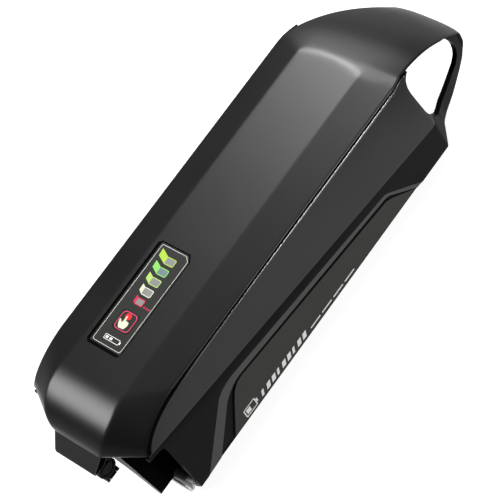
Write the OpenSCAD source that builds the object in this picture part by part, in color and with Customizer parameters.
// Removable down-tube battery pack of an electric bicycle.
// X runs along the pack: the display end is -X and the carrying handle is +X.
// Z is up, through the cover. The pack stands on its base at z = 0.

/* [Body] */
// Length from the front of the nose visor to the tip of the handle
total_l = 343; // [341:1:345]
// Height of the flat top of the cover above the base
body_h = 92; // [91:0.5:94]
// Width over the ridges of the side walls
ridge_w = 93; // [92:0.5:94]
// Width over the seam between the cover and the case
seam_w = 88; // [87:0.5:89]
// Width over the lower edges of the side walls
edge_w = 90; // [89:0.5:91]
// Width of the flat base
base_w = 74; // [70:1:76]
// Wall thickness of the mouldings
wall = 2.5; // [2.2:0.1:2.8]

/* [Cover] */
// Half width of the flat top between its two creases
flat_hw = 23.3; // [22:0.1:24]
// Half width of the flat top at the front of the nose
flat_nose_hw = 18.5; // [17:0.5:19]
// Drop from the flat top to the seam
seam_drop = 6; // [5:0.5:7]
// Height of the lip under the nose
lip_z = 68; // [67:0.5:69]
// Clear gap along the seam
seam_gap = 0.3; // [0.2:0.05:0.4]

/* [Handle] */
// Width of an arm of the handle
arm_w = 3.5; // [3:0.5:4.5]
// Height of the top edge of the arms above the base
arm_top_z = 30; // [29.5:0.5:31.5]

/* [Display] */
// Length of the charge display
display_l = 69; // [66:1:70]
// Width of the charge display
display_w = 24; // [22:0.5:24]
// Offset of the display's centre line to the left
display_y = 6.2; // [5:0.2:6.4]
// Side of the square check button
button_side = 12.4; // [12:0.1:12.8]
// Travel of the check button
button_travel = 0.6; // [0.4:0.1:0.6]

/* [Cells] */
// Diameter of a round cell in its sleeve
cell_d = 18.4; // [18.2:0.1:18.5]
// Length of a round cell
cell_l = 65; // [65:0.1:65.2]
// Distance between neighbouring cells in a row
cell_pitch = 18.9; // [18.8:0.1:19]
// Height between neighbouring rows
row_pitch = 16.5; // [16.4:0.1:16.6]

/* [Nose] */
// Distance from the centre plane to the inner cheeks
cheek_y = 25; // [24:0.5:26]
// Thickness of the inner cheeks
cheek_t = 2; // [1.8:0.1:2.4]
// Outer diameter of the charge port
port_d = 12; // [11.5:0.1:12.2]
// Opening angle of the charge port cap
cap_open = 110; // [90:5:120]

/* [Hidden] */
$fn = 48;

black = [0.09, 0.09, 0.095];
satin = [0.13, 0.13, 0.135];
metal = [0.75, 0.76, 0.78];
copper = [0.72, 0.45, 0.25];
board = [0.05, 0.25, 0.12];
sleeve = [0.15, 0.35, 0.55];
foam = [0.25, 0.25, 0.26];

x_front = -total_l / 2;
x_tip = total_l / 2;
seam_z = body_h - seam_drop;
edge_z = 8;

// Nose of the cover: a quarter ellipse along the top and a fuller curve along the seam.
nose_x = x_front + 8;
nose_bend_x = nose_x + 33.5;
nose_a = 34;
nose_b = body_h - lip_z + 5;
side_bend_x = nose_x + 51.5;
side_a = 37;
side_power = 1.8;
corner_x = side_bend_x - side_a;
corner_round = 1.2;
nose_flare = 3;
lip_part = 0.42;

// Handle slope of the cover: a parabola in the side view.
slope_x = x_tip - 70.5;
edge_slope_x = slope_x + 5;
taper_x = slope_x - 1;
round_x = x_tip - 5.5;

// Ends of the case.
case_front_x = x_front + 33.5;
case_end_x = x_tip - 61;
bay_x = x_front + 53.5;
cavity_end_x = case_end_x - wall - 0.5;
window_end_x = x_tip - 11.7;

// Smooth step from 0 to 1 between a and b
function smooth(a, b, x) = let (t = min(1, max(0, (x - a) / (b - a)))) t * t * (3 - 2 * t);
function flat(lists) = [for (l = lists) for (p = l) p];

// Height of the ridge of the side wall at x
function ridge_z(x) = 49.4 - 0.131 * x;
// Half width of the case's upper facet at x and height z
function facet_hw(x, z) = let (f = (seam_z - z) / (seam_z - ridge_z(x)))
    (seam_w + (ridge_w - seam_w) * min(1, f)) / 2;

corner_hw = facet_hw(corner_x, lip_z) - corner_round;

// Height of the cover's edge at x, without the inset
function edge_height(x) =
    x < corner_x ? lip_z
    : x < side_bend_x
    ? lip_z + (seam_z - lip_z) * pow(max(0, 1 - pow((side_bend_x - x) / side_a, side_power)), 1 / side_power)
    : x < edge_slope_x ? seam_z
    : let (u = x - edge_slope_x) seam_z - 0.293 * u - 0.00728 * u * u;
// Height of the cover's centre line at x, inset by d
function top_height(x, d) =
    x < nose_bend_x
    ? body_h - d - (nose_b - d) * (1 - sqrt(max(0, 1 - pow((nose_bend_x - x) / (nose_a - d), 2))))
    : x < slope_x ? body_h - d
    : let (u = x - slope_x) body_h - 0.28 * u - 0.0068 * u * u
        - d * sqrt(1 + pow(0.28 + 0.0136 * u, 2));
// Half width of the cover at x, inset by d
function handle_hw(x) = let (u = max(0, x - taper_x)) seam_w / 2 - 0.2 * u - 0.0013 * u * u;
function tip_round(x, d) = x < round_x ? 1
    : pow(max(0.001, 1 - pow((x - round_x) / (x_tip + 0.05 - d - round_x), 3)), 1 / 3);
function cover_hw(x, d) =
    x < corner_x
    ? (corner_hw - d) + (flat_nose_hw + 0.5 - corner_hw) * (corner_x - x) / (corner_x - nose_x - d)
    : x < side_bend_x
    ? facet_hw(x, edge_height(x)) - d - corner_round * (1 - smooth(corner_x, corner_x + 5, x))
    : (handle_hw(min(x, round_x)) - d) * tip_round(x, d);
// Half width of the flat top at x: it flares towards the nose and closes in over the lip
function crease_hw(x) = let (u = min(1, max(0, (x - nose_x) / (side_bend_x - nose_x))),
    lip = sqrt(1 - pow(1 - min(1, u / lip_part), 2)))
    flat_nose_hw + (flat_hw + nose_flare * pow(1 - u, 1.3) - flat_nose_hw) * lip;

// Cross-section of the space under the cover's outer surface: flat top and
// chamfers in the body, a plain crown on the handle, closed at height zb
function cover_ring(x, d, zb) =
    let (w = cover_hw(x, d), a = min(crease_hw(x), w - 0.4), p = top_height(x, d),
        e = min(edge_height(x) - d, p - 0.2), h = smooth(slope_x - 3, slope_x + 9, x),
        half = [0, a / 2, a, a + (w - a) / 3, a + (w - a) * 2 / 3, w],
        z = [for (y = half) let (g = max(0, (y - a) / (w - a)))
            p - (p - e) * ((1 - h) * g + h * pow(y / w, 2))])
    concat([for (i = [5:-1:1]) [x, -half[i], z[i]]], [for (i = [0:5]) [x, half[i], z[i]]],
        [[x, w, min(zb, e - 0.1)], [x, -w, min(zb, e - 0.1)]]);

// Stations along the cover, inset by d from both ends
function cover_stations(d) = concat(
    [for (a = [80, 74, 67, 58, 48, 40]) nose_bend_x - (nose_a - d) * sin(a)],
    [for (a = [90, 75, 60, 45, 30, 15, 0]) side_bend_x - side_a * sin(a)],
    [-60, 20, slope_x - 3, slope_x], [for (x = [slope_x + 3:6:round_x - 2]) x],
    [round_x, round_x + (5 - d) * 0.5, round_x + (5 - d) * 0.85, round_x + 5.5 - d]);

// Solid skinned over equal rings of points
module loft(rings) {
    n = len(rings[0]);
    m = len(rings);
    polyhedron(flat(rings), concat([[for (i = [n - 1:-1:0]) i]],
        [for (k = [0:m - 2]) for (i = [0:n - 1]) let (j = (i + 1) % n, a = k * n, b = a + n)
            each [[a + i, a + j, b + i], [a + j, b + j, b + i]]],
        [[for (i = [0:n - 1]) (m - 1) * n + i]]), convexity = 6);
}

// Tube of radius r along a smooth curve through hand-chosen points
function bend(p, i, t) = let (a = p[max(0, i - 1)], b = p[i], c = p[i + 1], d = p[min(len(p) - 1, i + 2)])
    0.5 * (2 * b + (c - a) * t + (2 * a - 5 * b + 4 * c - d) * t * t + (3 * b - a - 3 * c + d) * t * t * t);
function curve(p, steps) = concat([for (i = [0:len(p) - 2]) for (k = [0:steps - 1]) bend(p, i, k / steps)],
    [p[len(p) - 1]]);
function unit(v) = v / norm(v);
module cable(points, r) {
    path = curve(points, 3);
    last = len(path) - 1;
    loft([for (i = [0:last])
        let (t = unit(path[min(last, i + 1)] - path[max(0, i - 1)]), s = unit(cross(t, [0.3, 0.2, 1])),
            q = cross(t, s))
        [for (k = [0:7]) path[i] + r * (cos(45 * k) * s - sin(45 * k) * q)]]);
}

module at_x(x0, x1, y0, y1, z0, z1) {
    translate([x0, y0, z0]) cube([x1 - x0, y1 - y0, z1 - z0]);
}
// Cylinder along Y between y0 and y1
module rod_y(x, z, y0, y1, r) {
    translate([x, y1, z]) rotate([90, 0, 0]) cylinder(r = r, h = y1 - y0);
}
module rod_x(y, z, x0, x1, r) {
    translate([x0, y, z]) rotate([0, 90, 0]) cylinder(r = r, h = x1 - x0);
}
module rod_z(x, y, z0, z1, r) {
    translate([x, y, z0]) cylinder(r = r, h = z1 - z0);
}
// Outline in the XZ plane, extruded between y0 and y1
module side_plate(points, y0, y1) {
    translate([0, y1, 0]) rotate([90, 0, 0]) linear_extrude(y1 - y0) polygon(points);
}

// ---- Case ----
// Cross-section of the case at x, inset by d, with its top at the cover's seam
function case_ring(x, d) = let (k = d * 0.6, top_hw = handle_hw(min(x, case_end_x)) - d) [
    [x, -top_hw, seam_z + 4], [x, -ridge_w / 2 + d, ridge_z(x)],
    [x, -edge_w / 2 + d, edge_z + k], [x, -base_w / 2 + k, d],
    [x, base_w / 2 - k, d], [x, edge_w / 2 - d, edge_z + k],
    [x, ridge_w / 2 - d, ridge_z(x)], [x, top_hw, seam_z + 4]];
module case_loft(x0, x1, d) {
    loft([for (x = [x1, case_end_x, taper_x, 0, x0]) if (x0 <= x && x <= x1) case_ring(x, d)]);
}
case_x0 = corner_x - 4;
case_x1 = x_tip + 1;

// Everything above the cover's edge, less the seam gap
module above_seam(gap) {
    loft([for (x = concat([x_front - 2], cover_stations(0), [x_tip + 2]))
        let (z = edge_height(x) - gap) [[x, -60, z], [x, -60, 130], [x, 60, 130], [x, 60, z]]]);
}

// Side view of the case with its arms
function case_profile() = [[case_front_x, 0], [slope_x + 2, 0], [slope_x + 7.5, 3], [slope_x + 11, 8],
    [slope_x + 19.5, 19.5], [slope_x + 39, 21], [slope_x + 53, 23.3], [x_tip - 9.5, 25.1],
    [x_tip - 5.2, 28.2], [x_tip - 2.8, 31.8], [x_tip - 1.8, 36], [x_tip - 1.5, 41], [x_tip - 1.5, 100],
    [corner_x - 2, 100],
    [corner_x - 1.5, lip_z - 2.8], [case_front_x - 3, lip_z - 4], [case_front_x - 0.5, lip_z - 7]];
// Triangular grip opening of the handle, open above to the cover
function window_profile() = [[case_end_x + 3.4, 100], [case_end_x + 3, 83.6], [case_end_x + 2, 82.2],
    [case_end_x + 0.6, 80.8], [case_end_x - 1, 78.6], [case_end_x - 2.2, 75], [case_end_x - 2.4, 70],
    [case_end_x - 1.5, 59.8], [case_end_x - 0.4, 48.9], [case_end_x + 0.5, 45.5],
    [case_end_x + 1.9, 41.5], [case_end_x + 3.6, 38], [case_end_x + 5.8, 34.6],
    [case_end_x + 8.4, arm_top_z + 1.6], [case_end_x + 12, arm_top_z], [window_end_x - 6.5, arm_top_z + 0.5],
    [window_end_x - 2.2, arm_top_z + 2], [window_end_x - 0.4, arm_top_z + 5],
    [window_end_x + 0.2, arm_top_z + 9], [window_end_x - 0.3, arm_top_z + 13],
    [window_end_x - 2, arm_top_z + 17.5], [window_end_x - 3.6, arm_top_z + 21], [window_end_x - 3.6, 100]];
// Plan view of the case, inset by d
plan_x = case_end_x - 3;
function plan_hw(x) = handle_hw(x) + 4.6 * (1 - smooth(plan_x, plan_x + 20, x));
module plan_outline(d) {
    xs = concat([for (x = [plan_x:5:round_x - 3]) x], [for (d = [0:4]) round_x + d]);
    function hw(x) = x < round_x ? plan_hw(x) - d : (handle_hw(round_x) - d) * tip_round(x - 0.6, 0);
    translate([0, 0, -5]) linear_extrude(120) polygon(concat(
        [[x_front - 5, -60], [plan_x - 0.1, -60]], [for (x = xs) [x, -hw(x)]],
        [for (i = [len(xs) - 1:-1:0]) [xs[i], hw(xs[i])]], [[plan_x - 0.1, 60], [x_front - 5, 60]]));
}

// Hexagonal side recess
function recess_outline() = [[slope_x - 12.5, edge_z - 3], [slope_x - 40, 31.8], [slope_x - 42.5, 33.6],
    [-85, 51.5], [-95.5, 49.3], [-133, edge_z - 3]];
// Panel set in the recess, leaving a wide margin towards the nose
function panel_outline() = [[slope_x - 22.3, edge_z + 1.5], [slope_x - 39.2, 24.3], [slope_x - 43.5, 27],
    [-78, 42.2], [-82.5, 41.6], [-86.5, 38.6], [-90.2, 33.1], [-103.4, edge_z + 1.5]];
module recess_body(side) {
    intersection() {
        side_plate(recess_outline(), side > 0 ? 30 : -60, side > 0 ? 60 : -30);
        difference() {
            case_loft(case_x0, case_x1, -2);
            case_loft(case_x0 - 1, case_x1 + 1, 1.5);
        }
    }
}

rail_x0 = bay_x + 8;
rail_x1 = slope_x - 9;
rail_hw = 17;
rail_z = 5;
slot_z = 2.6;
rail_bolt_xs = [rail_x0 + 12, 0, rail_x1 - 12];

module lower_case() {
    color(satin) difference() {
        intersection() {
            case_loft(case_x0, case_x1, 0);
            side_plate(case_profile(), -60, 60);
            plan_outline(0);
        }
        above_seam(seam_gap);
        side_plate(window_profile(), -60, 60);
        // Cell space, with a raised floor over the slide rail
        difference() {
            case_loft(bay_x, cavity_end_x, wall);
            at_x(rail_x0 - 3, rail_x1 + 3, -rail_hw - 2.5, rail_hw + 2.5, -1, rail_z + wall);
        }
        // Connector bay, open to the front and below
        intersection() {
            case_loft(corner_x - 10, case_end_x, wall);
            at_x(corner_x - 10, bay_x + 0.05, -60, 60, -1, 100);
        }
        at_x(corner_x - 10, bay_x - 4, -base_w / 2 + 3, base_w / 2 - 3, -1, 20);
        // Space between the arms of the handle, with a boss for the cover's screw at the tip
        difference() {
            intersection() {
                plan_outline(arm_w);
                at_x(case_end_x, x_tip - 5, -60, 60, -1, 100);
            }
            rod_z(tip_screw_x, 0, -2, 101, 5);
            at_x(tip_screw_x, x_tip, -4, 4, -2, 101);
        }
        for (side = [-1, 1]) recess_body(side);
        at_x(rail_x0, rail_x1, -rail_hw, rail_hw, -1, rail_z);
        for (x = rail_bolt_xs) rod_z(x, 0, rail_z - 0.5, rail_z + wall + 1, 1.6);
        rod_y(lock_x, lock_z, -60, 60, lock_r);
        // Screw hole for the cover at the tip of the handle
        rod_z(tip_screw_x, 0, 20, 60, 1.6);
        rod_z(tip_screw_x, 0, tip_boss_z - 0.3, 60, 3.4);
        rod_z(tip_screw_x, 0, 20, 31, 2.9);
    }
}

module side_panel(side) {
    color(black) intersection() {
        side_plate(panel_outline(), side > 0 ? 30 : -60, side > 0 ? 60 : -30);
        difference() {
            case_loft(case_x0, case_x1, 0.5);
            case_loft(case_x0 - 1, case_x1 + 1, 1.5);
        }
    }
}
module side_panel_left() { side_panel(1); }
module side_panel_right() { side_panel(-1); }

// ---- Cover ----
// Window of the display in the flat top
display_x = -78.3;
module display_pocket(g, z0, z1) {
    c = 4;
    x0 = display_x - display_l / 2 - g;
    x1 = display_x + display_l / 2 + g;
    y0 = display_y - display_w / 2 - g;
    y1 = display_y + display_w / 2 + g;
    translate([0, 0, z0]) linear_extrude(z1 - z0)
        polygon([[x0, y0], [x1 - c, y0], [x1, y0 + c - 1], [x1, y1], [x0, y1]]);
}

tip_screw_x = x_tip - 8;
tip_boss_z = edge_height(tip_screw_x + 3) - 3;
nose_screw_x = nose_x + 13;
nose_screw_y = 14;
hook_xs = [-95, -45, 5, 55];

module top_cover() {
    color(satin) difference() {
        union() {
            difference() {
                loft([for (x = cover_stations(0)) cover_ring(x, 0, 1000)]);
                loft([for (x = cover_stations(wall)) cover_ring(x, wall, edge_height(x) - 20)]);
            }
            // Snap hooks that hold the long sides
            for (x = hook_xs, side = [-1, 1])
                at_x(x - 5, x + 5, side > 0 ? 38 : -39.6, side > 0 ? 39.6 : -38, seam_z - 7, seam_z + 0.6);
            // Screw bosses at both ends
            rod_z(tip_screw_x, 0, tip_boss_z, top_height(tip_screw_x, 1.5), 3);
            for (side = [-1, 1])
                rod_z(nose_screw_x, side * nose_screw_y, lip_z + 0.2, top_height(nose_screw_x, 1.5) - 1, 3);
        }
        display_pocket(0.4, body_h - 1, body_h + 1);
        display_pocket(-2, body_h - 4, body_h + 1);
        rod_z(tip_screw_x, 0, 20, tip_boss_z + 5.8, 1.3);
        for (side = [-1, 1])
            rod_z(nose_screw_x, side * nose_screw_y, 50, top_height(nose_screw_x, 4.5), 1.3);
    }
}

// Lining that closes the underside of the grip
module handle_liner() {
    xs = [for (x = [case_end_x + 3:6:window_end_x - 1]) x];
    color(black) loft([for (x = xs)
        let (w = cover_hw(x, wall) - 0.4, p = top_height(x, wall + 0.2), e = edge_height(x) - wall - 0.2,
            half = [0, w / 3, w * 2 / 3, w])
        concat([for (i = [3:-1:1]) [x, -half[i], p - (p - e) * pow(half[i] / w, 2)]],
            [for (i = [0:3]) [x, half[i], p - (p - e) * pow(half[i] / w, 2)]],
            [[x, w - 1.5, e - 2.6], [x, 1.5 - w, e - 2.6]])]);
}

// ---- Nose ----
lock_x = case_front_x - 3.2;
lock_z = 6;
lock_r = 2.4;
module lock_bar() {
    color(metal) difference() {
        rod_y(lock_x, lock_z, -39, 39, lock_r);
        // Shallow grooves along both ends of the bar
        for (a = [0:45:315], y0 = [-38, 20])
            rod_y(lock_x + lock_r * cos(a), lock_z + lock_r * sin(a), y0, y0 + 18, 0.3, $fn = 16);
    }
}
// Floor of the connector bay, behind the bar
bay_plate_z = 8.3;
module bay_plate() {
    color(metal) at_x(lock_x + lock_r + 0.2, bay_x - 0.2, -39, 39, bay_plate_z - 2, bay_plate_z);
}

bulkhead_t = 3;
module front_bulkhead() {
    color(black) difference() {
        intersection() {
            case_loft(case_x0, cavity_end_x, wall + 0.5);
            at_x(bay_x + 0.3, bay_x + 0.3 + bulkhead_t, -60, 60, 0, seam_z - 4.5);
        }
        at_x(bay_x - 1, bay_x + 10, -conn_hw + 2, conn_hw - 2, conn_z0 + 2, conn_z1 - 2);
        rod_x(vent_y, vent_z, bay_x - 1, bay_x + 10, vent_r);
        for (y = [-30, 30]) rod_x(y, 12, bay_x - 1, bay_x + 10, 1.6);
    }
}
module bulkhead_screws() {
    color(metal) for (y = [-30, 30]) {
        rod_x(y, 12, bay_x + 0.3, bay_x + 9, 1.5);
        rod_x(y, 12, bay_x - 1.6, bay_x + 0.3, 2.8);
    }
}

// Thin plates that guide the plug of the bicycle into the bay
module cheek(side) {
    y0 = side * cheek_y - cheek_t / 2;
    color(black) side_plate([[bay_x, bay_plate_z + 0.1], [x_front + 17.5, bay_plate_z + 0.1],
        [x_front + 14.5, lip_z - 1.5], [bay_x, lip_z - 1.5]],
        y0, y0 + cheek_t);
}
module cheek_left() { cheek(1); }
module cheek_right() { cheek(-1); }

// Visor under the nose with the block that carries the charge port
port_x = x_front + 8.5;
port_z = 46;
port_y = -8.6;
pin_z = port_z - 8.6;
pin_y = port_y - 1.6;
pin_r = 0.8;
block_y = port_y + 4;
module nose_visor() {
    color(satin) difference() {
        union() {
            intersection() {
                side_plate([[nose_x + 22, lip_z - 0.4], [nose_x + 1, lip_z - 0.4], [x_front + 0.7, 57.5],
                    [x_front, 55.5], [x_front + 1.2, 54], [x_front + 8, 54], [x_front + 14, 60],
                    [nose_x + 22, 60]], -30, 30);
                translate([x_front - 1, 0, 0]) rotate([90, 0, 90]) linear_extrude(60)
                    polygon([[-14, 53], [17, 53], [18.6, lip_z], [-18.6, lip_z]]);
            }
            at_x(nose_x + 2, bay_x - 12, -9, 12, 58, lip_z - 0.4);
            rod_y(port_x, port_z, block_y, 9, port_d / 2 + 1);
            at_x(port_x - 3, port_x + 14, block_y, 9, port_z, 60);
            // Ears of the cap's hinge
            for (x = [port_x - 5, port_x + 3]) {
                rod_x(pin_y, pin_z, x, x + 2, 1.7);
                at_x(x, x + 2, pin_y, block_y + 0.2, pin_z - 1.7, pin_z + 1.7);
                at_x(x, x + 2, block_y - 1.5, block_y + 0.2, pin_z, port_z);
            }
        }
        rod_y(port_x, port_z, port_y - 5, -1, port_d / 2);
        for (side = [-1, 1]) rod_z(nose_screw_x, side * nose_screw_y, 40, lip_z + 5, 1.6);
        rod_x(pin_y, pin_z, port_x - 8, port_x + 8, pin_r);
    }
}
module charge_socket() {
    color(metal) {
        difference() {
            rod_y(port_x, port_z, port_y, -1, port_d / 2);
            rod_y(port_x, port_z, port_y - 1, -3, port_d / 2 - 1.5);
        }
        rod_y(port_x, port_z, port_y + 2, -3, 1);
    }
}
module cap_hinge_pin() {
    color(metal) rod_x(pin_y, pin_z, port_x - 5, port_x + 5, pin_r);
}
// Round rubber cap with a rim and a finger tab
module charge_port_cap() {
    cap_y = port_y - 0.3;
    color(black) difference() {
        union() {
            rod_y(port_x, port_z, cap_y - 2.6, cap_y, port_d / 2 + 0.6);
            rod_y(port_x, port_z, cap_y - 0.1, port_y + 1.6, port_d / 2 - 2);
            at_x(port_x - 2.6, port_x + 2.6, cap_y - 2.4, cap_y, pin_z, port_z - 4);
            rod_x(pin_y, pin_z, port_x - 2.6, port_x + 2.6, 1.7);
            at_x(port_x - 3, port_x + 3, cap_y - 3.8, cap_y - 2.6, port_z + 2.5, port_z + 4.5);
        }
        rod_y(port_x, port_z, cap_y - 0.9, port_y + 3, 1.6);
        difference() {
            rod_y(port_x, port_z, cap_y - 3, cap_y - 1.9, port_d / 2 - 0.8);
            rod_y(port_x, port_z, cap_y - 3, cap_y - 1.9, port_d / 2 - 1.8);
            at_x(port_x - 3, port_x + 3, cap_y - 4.4, cap_y, port_z + 2.5, port_z + 6);
        }
        rod_x(pin_y, pin_z, port_x - 8, port_x + 8, pin_r + 0.06);
    }
}

conn_hw = 16;
conn_z0 = 14;
conn_z1 = 42;
module discharge_connector() {
    x0 = bay_x - 8;
    color(black) difference() {
        union() {
            at_x(x0, bay_x + 0.3, -conn_hw, conn_hw, conn_z0, conn_z1);
            at_x(bay_x, bay_x + 9, -conn_hw + 2.3, conn_hw - 2.3, conn_z0 + 2.3, conn_z1 - 2.3);
        }
        for (y = [-8, 8]) at_x(x0 - 1, x0 + 7, y - 3.5, y + 3.5, conn_z0 + 3, conn_z1 - 10);
        at_x(x0 - 1, x0 + 6, -9, 9, conn_z1 - 7.5, conn_z1 - 3);
    }
}
module power_blades() {
    x0 = bay_x - 6;
    color(copper) for (y = [-8, 8])
        at_x(x0, x0 + 5, y - 0.6, y + 0.6, conn_z0 + 5, conn_z1 - 12);
}
module signal_pins() {
    x0 = bay_x - 6.5;
    color(copper) for (y = [-6:3:6]) rod_x(y, conn_z1 - 5.2, x0, x0 + 4.5, 0.6);
}
vent_y = -34;
vent_z = 34;
vent_r = 4;
module vent_plug() {
    color(foam) {
        rod_x(vent_y, vent_z, bay_x - 1.5, bay_x + 4.5, vent_r - 0.05);
        rod_x(vent_y, vent_z, bay_x - 1.5, bay_x + 0.3, vent_r + 1.2);
    }
}

// ---- Display ----
button_x = display_x - 16;
button_y = display_y - 1.2;
window_z = body_h - 1;
window_t = 0.7;
board_z = body_h - 7.5;
spring_top = board_z + 2.7;
module button_hole(g, z0, z1) {
    r = 2.2;
    s = button_side / 2 + g - r;
    translate([button_x, button_y, z0]) linear_extrude(z1 - z0) union() {
        square([2 * s + 2 * r, 2 * s], center = true);
        square([2 * s, 2 * s + 2 * r], center = true);
        for (x = [-s, s], y = [-s, s]) translate([x, y]) circle(r);
    }
}
module display_tray() {
    color(black) difference() {
        display_pocket(-2.2, board_z + 1.6, window_z - 0.02);
        difference() {
            display_pocket(-3.6, board_z, window_z - 1);
            at_x(guide_x0, guide_x1, -20, 20, board_z - 1, body_h);
        }
        button_hole(0.3, board_z, body_h);
        for (x = led_xs) at_x(x - 2.4, x + 2.4, display_y - 5.2, display_y + 4.2, board_z + 1, body_h);
    }
}
module display_window() {
    color([0.2, 0.2, 0.17]) difference() {
        display_pocket(0, window_z, window_z + window_t);
        button_hole(0.3, window_z - 1, window_z + 2);
    }
}
module check_button() {
    color([0.75, 0.15, 0.25]) {
        button_hole(0, window_z - 2.2, window_z + window_t);
        rod_z(button_x, button_y, spring_top + 0.05, window_z - 2.2, 1.6);
    }
}
module button_spring() {
    color(metal) difference() {
        translate([button_x, button_y, board_z + 1.6]) cylinder(r1 = 4, r2 = 2, h = spring_top - board_z - 1.6);
        translate([button_x, button_y, board_z + 1.5]) cylinder(r1 = 3.6, r2 = 1.6, h = spring_top - board_z - 1.75);
    }
}
led_xs = [for (i = [0:4]) display_x + 27 - 8.6 * i];
guide_x0 = led_xs[4] - 3.4;
guide_x1 = led_xs[0] + 3.4;
module indicator_board() {
    color(board) display_pocket(-2.4, board_z, board_z + 1.6);
}
module indicator_leds() {
    color([0.9, 0.95, 0.8]) for (x = led_xs)
        at_x(x - 0.9, x + 0.9, display_y - 1.5, display_y + 0.7, board_z + 1.6, board_z + 2.6);
}
module light_guide() {
    color([0.9, 0.9, 0.85]) for (x = led_xs)
        at_x(x - 2.1, x + 2.1, display_y - 4.9, display_y + 3.9, board_z + 2.8, window_z - 0.04);
}

// ---- Cells ----
columns = 10;
rows = 4;
cells_x = -100 + cell_d / 2 + 1.5;
cells_z = 10.3 + cell_d / 2;
function cell_at(c, r) = [cells_x + cell_pitch * c + (r % 2) * cell_pitch / 2, cells_z + row_pitch * r];
module cell_group(c) {
    turned = c % 2 == 0 ? 1 : -1;
    color(sleeve) for (r = [0:rows - 1]) let (p = cell_at(c, r)) {
        rod_y(p[0], p[1], -cell_l / 2, cell_l / 2, cell_d / 2 - 0.1);
        rod_y(p[0], p[1], turned > 0 ? cell_l / 2 : -cell_l / 2 - 0.8, turned > 0 ? cell_l / 2 + 0.8 : -cell_l / 2, 4);
    }
}
holder_y0 = 24;
holder_y1 = 32;
module cell_holder(side) {
    x0 = cells_x - cell_d / 2 - 1.2;
    x1 = cells_x + cell_pitch * (columns - 0.5) + cell_d / 2 + 1.2;
    color([0.2, 0.2, 0.21]) difference() {
        at_x(x0, x1, side > 0 ? holder_y0 : -holder_y1, side > 0 ? holder_y1 : -holder_y0,
            cells_z - cell_d / 2 - 1.2, cells_z + row_pitch * (rows - 1) + cell_d / 2 + 1.2);
        for (c = [0:columns - 1], r = [0:rows - 1]) let (p = cell_at(c, r))
            rod_y(p[0], p[1], -50, 50, cell_d / 2);
    }
}
module cell_holder_left() { cell_holder(1); }
module cell_holder_right() { cell_holder(-1); }

busbar_y = cell_l / 2 + 0.85;
module busbars(side) {
    first = side > 0 ? 0 : -1;
    y0 = side > 0 ? busbar_y : -busbar_y - 0.3;
    color(metal) for (k = [0:5]) {
        c0 = max(0, 2 * k + first);
        c1 = min(columns - 1, 2 * k + first + 1);
        if (c0 <= c1) at_x(cell_at(c0, 0)[0] - 4.4, cell_at(c1, 1)[0] + 4.4, y0, y0 + 0.3,
            cells_z - 6, cells_z + row_pitch * (rows - 1) + 6);
    }
}
module busbars_left() { busbars(1); }
module busbars_right() { busbars(-1); }
module insulator(side) {
    y0 = side > 0 ? busbar_y + 0.5 : -busbar_y - 0.9;
    color([0.75, 0.8, 0.75]) at_x(cells_x - 11, cells_x + cell_pitch * 9.5 + 11, y0, y0 + 0.4,
        cells_z - 11, cells_z + row_pitch * 3 + 11);
}
module insulator_left() { insulator(1); }
module insulator_right() { insulator(-1); }
module foam_strip() {
    color(foam) for (y = [-14, 14])
        at_x(cells_x, cells_x + cell_pitch * 9, y - 5, y + 5, rail_z + wall + 0.2, cells_z - cell_d / 2);
}

// ---- Electronics ----
bms_x0 = -18;
bms_x1 = 78;
bms_z = cells_z + row_pitch * 3 + cell_d / 2 + 2;
module battery_board() {
    color(board) difference() {
        at_x(bms_x0, bms_x1, -28, 28, bms_z, bms_z + 1.6);
        for (x = [bms_x0 + 4, bms_x1 - 4], y = [-24, 24]) rod_z(x, y, bms_z - 1, bms_z + 3, 1.6);
    }
}
module board_switches() {
    color(black) for (i = [0:5]) at_x(bms_x0 + 10 + 9 * i, bms_x0 + 16.5 + 9 * i, 8, 17, bms_z + 1.6, bms_z + 3.6);
}
module board_heat_sink() {
    color(metal) difference() {
        at_x(bms_x0 + 8, bms_x0 + 64, 7, 18, bms_z + 3.7, bms_z + 6.4);
        for (i = [0:5]) at_x(bms_x0 + 13 + 9 * i, bms_x0 + 16 + 9 * i, 6, 19, bms_z + 5, bms_z + 7);
    }
}
module main_fuse() {
    color([0.85, 0.6, 0.1]) union() {
        at_x(bms_x0 + 72, bms_x0 + 82, -22, -2, bms_z + 1.6, bms_z + 6.4);
        at_x(bms_x0 + 75, bms_x0 + 79, -26, 2, bms_z + 1.6, bms_z + 2.6);
    }
}
module thermal_sensors() {
    color(black) for (x = [-45, 40]) at_x(x - 2, x + 2, 29, 33, bms_z - 0.7, bms_z + 1.6);
}
// Leads between the cells, the circuit board and the connector
module positive_lead() {
    color("firebrick") cable([[97, -36.2, 70], [98, -36.2, 77], [92, -36.2, 81.2], [40, -36.2, 81.2],
        [-40, -36.2, 81.2], [-96, -36.2, 80], [-104, -33, 62], [-104, -14, 40], [-105, -8, 34],
        [-108.6, -8, 34]], 1.5);
}
module negative_lead() {
    color([0.05, 0.05, 0.05]) cable([[-97, 36.2, 70], [-101, 36, 66], [-104, 31, 55],
        [-104, 14, 38], [-105, 8, 34], [-108.6, 8, 34]], 1.5);
}
module display_lead() {
    color([0.4, 0.4, 0.42]) cable([[-20, 20, 83.4], [-28, 21, 83.4], [-36, 18, 83.8],
        [-44.8, 12, 84.6]], 1);
}

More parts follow.
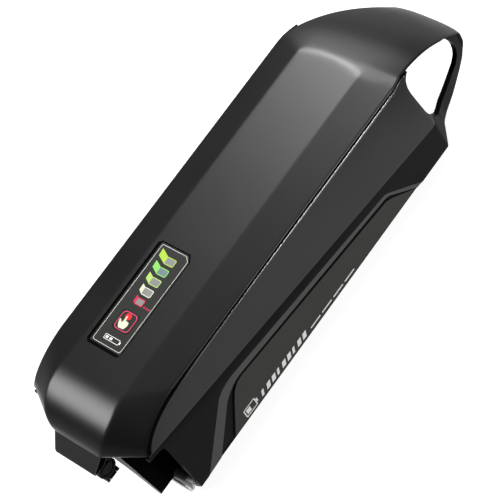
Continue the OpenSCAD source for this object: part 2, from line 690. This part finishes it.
// ---- Rail and fasteners ----
module slide_rail() {
    color(metal) difference() {
        at_x(rail_x0 + 0.2, rail_x1 - 0.2, -rail_hw + 0.2, rail_hw - 0.2, 0, rail_z);
        at_x(rail_x0, rail_x1, -5, 5, -1, 1.4);
        at_x(rail_x0, rail_x1, -8.5, 8.5, 1.2, slot_z);
        for (x = rail_bolt_xs) {
            rod_z(x, 0, -1, rail_z + 1, 1.6);
            rod_z(x, 0, 1, slot_z + 1.3, 2.9);
        }
    }
}
module rail_screws() {
    color(metal) for (x = rail_bolt_xs) {
        rod_z(x, 0, slot_z + 0.1, rail_z + wall + 1.2, 1.5);
        rod_z(x, 0, slot_z + 0.1, slot_z + 1.3, 2.8);
    }
}
module cover_screws() {
    color(metal) {
        rod_z(tip_screw_x, 0, 31, tip_boss_z + 5.4, 1.25);
        rod_z(tip_screw_x, 0, 29.2, 31, 2.6);
        for (side = [-1, 1]) {
            rod_z(nose_screw_x, side * nose_screw_y, 57, lip_z + 5, 1.25);
            rod_z(nose_screw_x, side * nose_screw_y, 55.2, 57, 2.6);
        }
    }
}

module cell_group_1() { cell_group(0); }
module cell_group_2() { cell_group(1); }
module cell_group_3() { cell_group(2); }
module cell_group_4() { cell_group(3); }
module cell_group_5() { cell_group(4); }
module cell_group_6() { cell_group(5); }
module cell_group_7() { cell_group(6); }
module cell_group_8() { cell_group(7); }
module cell_group_9() { cell_group(8); }
module cell_group_10() { cell_group(9); }

top_cover();
lower_case();
handle_liner();
side_panel_left();
side_panel_right();
front_bulkhead();
cheek_left();
cheek_right();
nose_visor();
charge_socket();
charge_port_cap();
cap_hinge_pin();
lock_bar();
bay_plate();
discharge_connector();
power_blades();
signal_pins();
vent_plug();
display_tray();
display_window();
check_button();
button_spring();
indicator_board();
indicator_leds();
light_guide();
battery_board();
board_switches();
board_heat_sink();
main_fuse();
cell_holder_left();
cell_holder_right();
cell_group_1();
cell_group_2();
cell_group_3();
cell_group_4();
cell_group_5();
cell_group_6();
cell_group_7();
cell_group_8();
cell_group_9();
cell_group_10();
busbars_left();
busbars_right();
insulator_left();
insulator_right();
foam_strip();
slide_rail();
rail_screws();
bulkhead_screws();
cover_screws();
positive_lead();
negative_lead();
display_lead();
thermal_sensors();
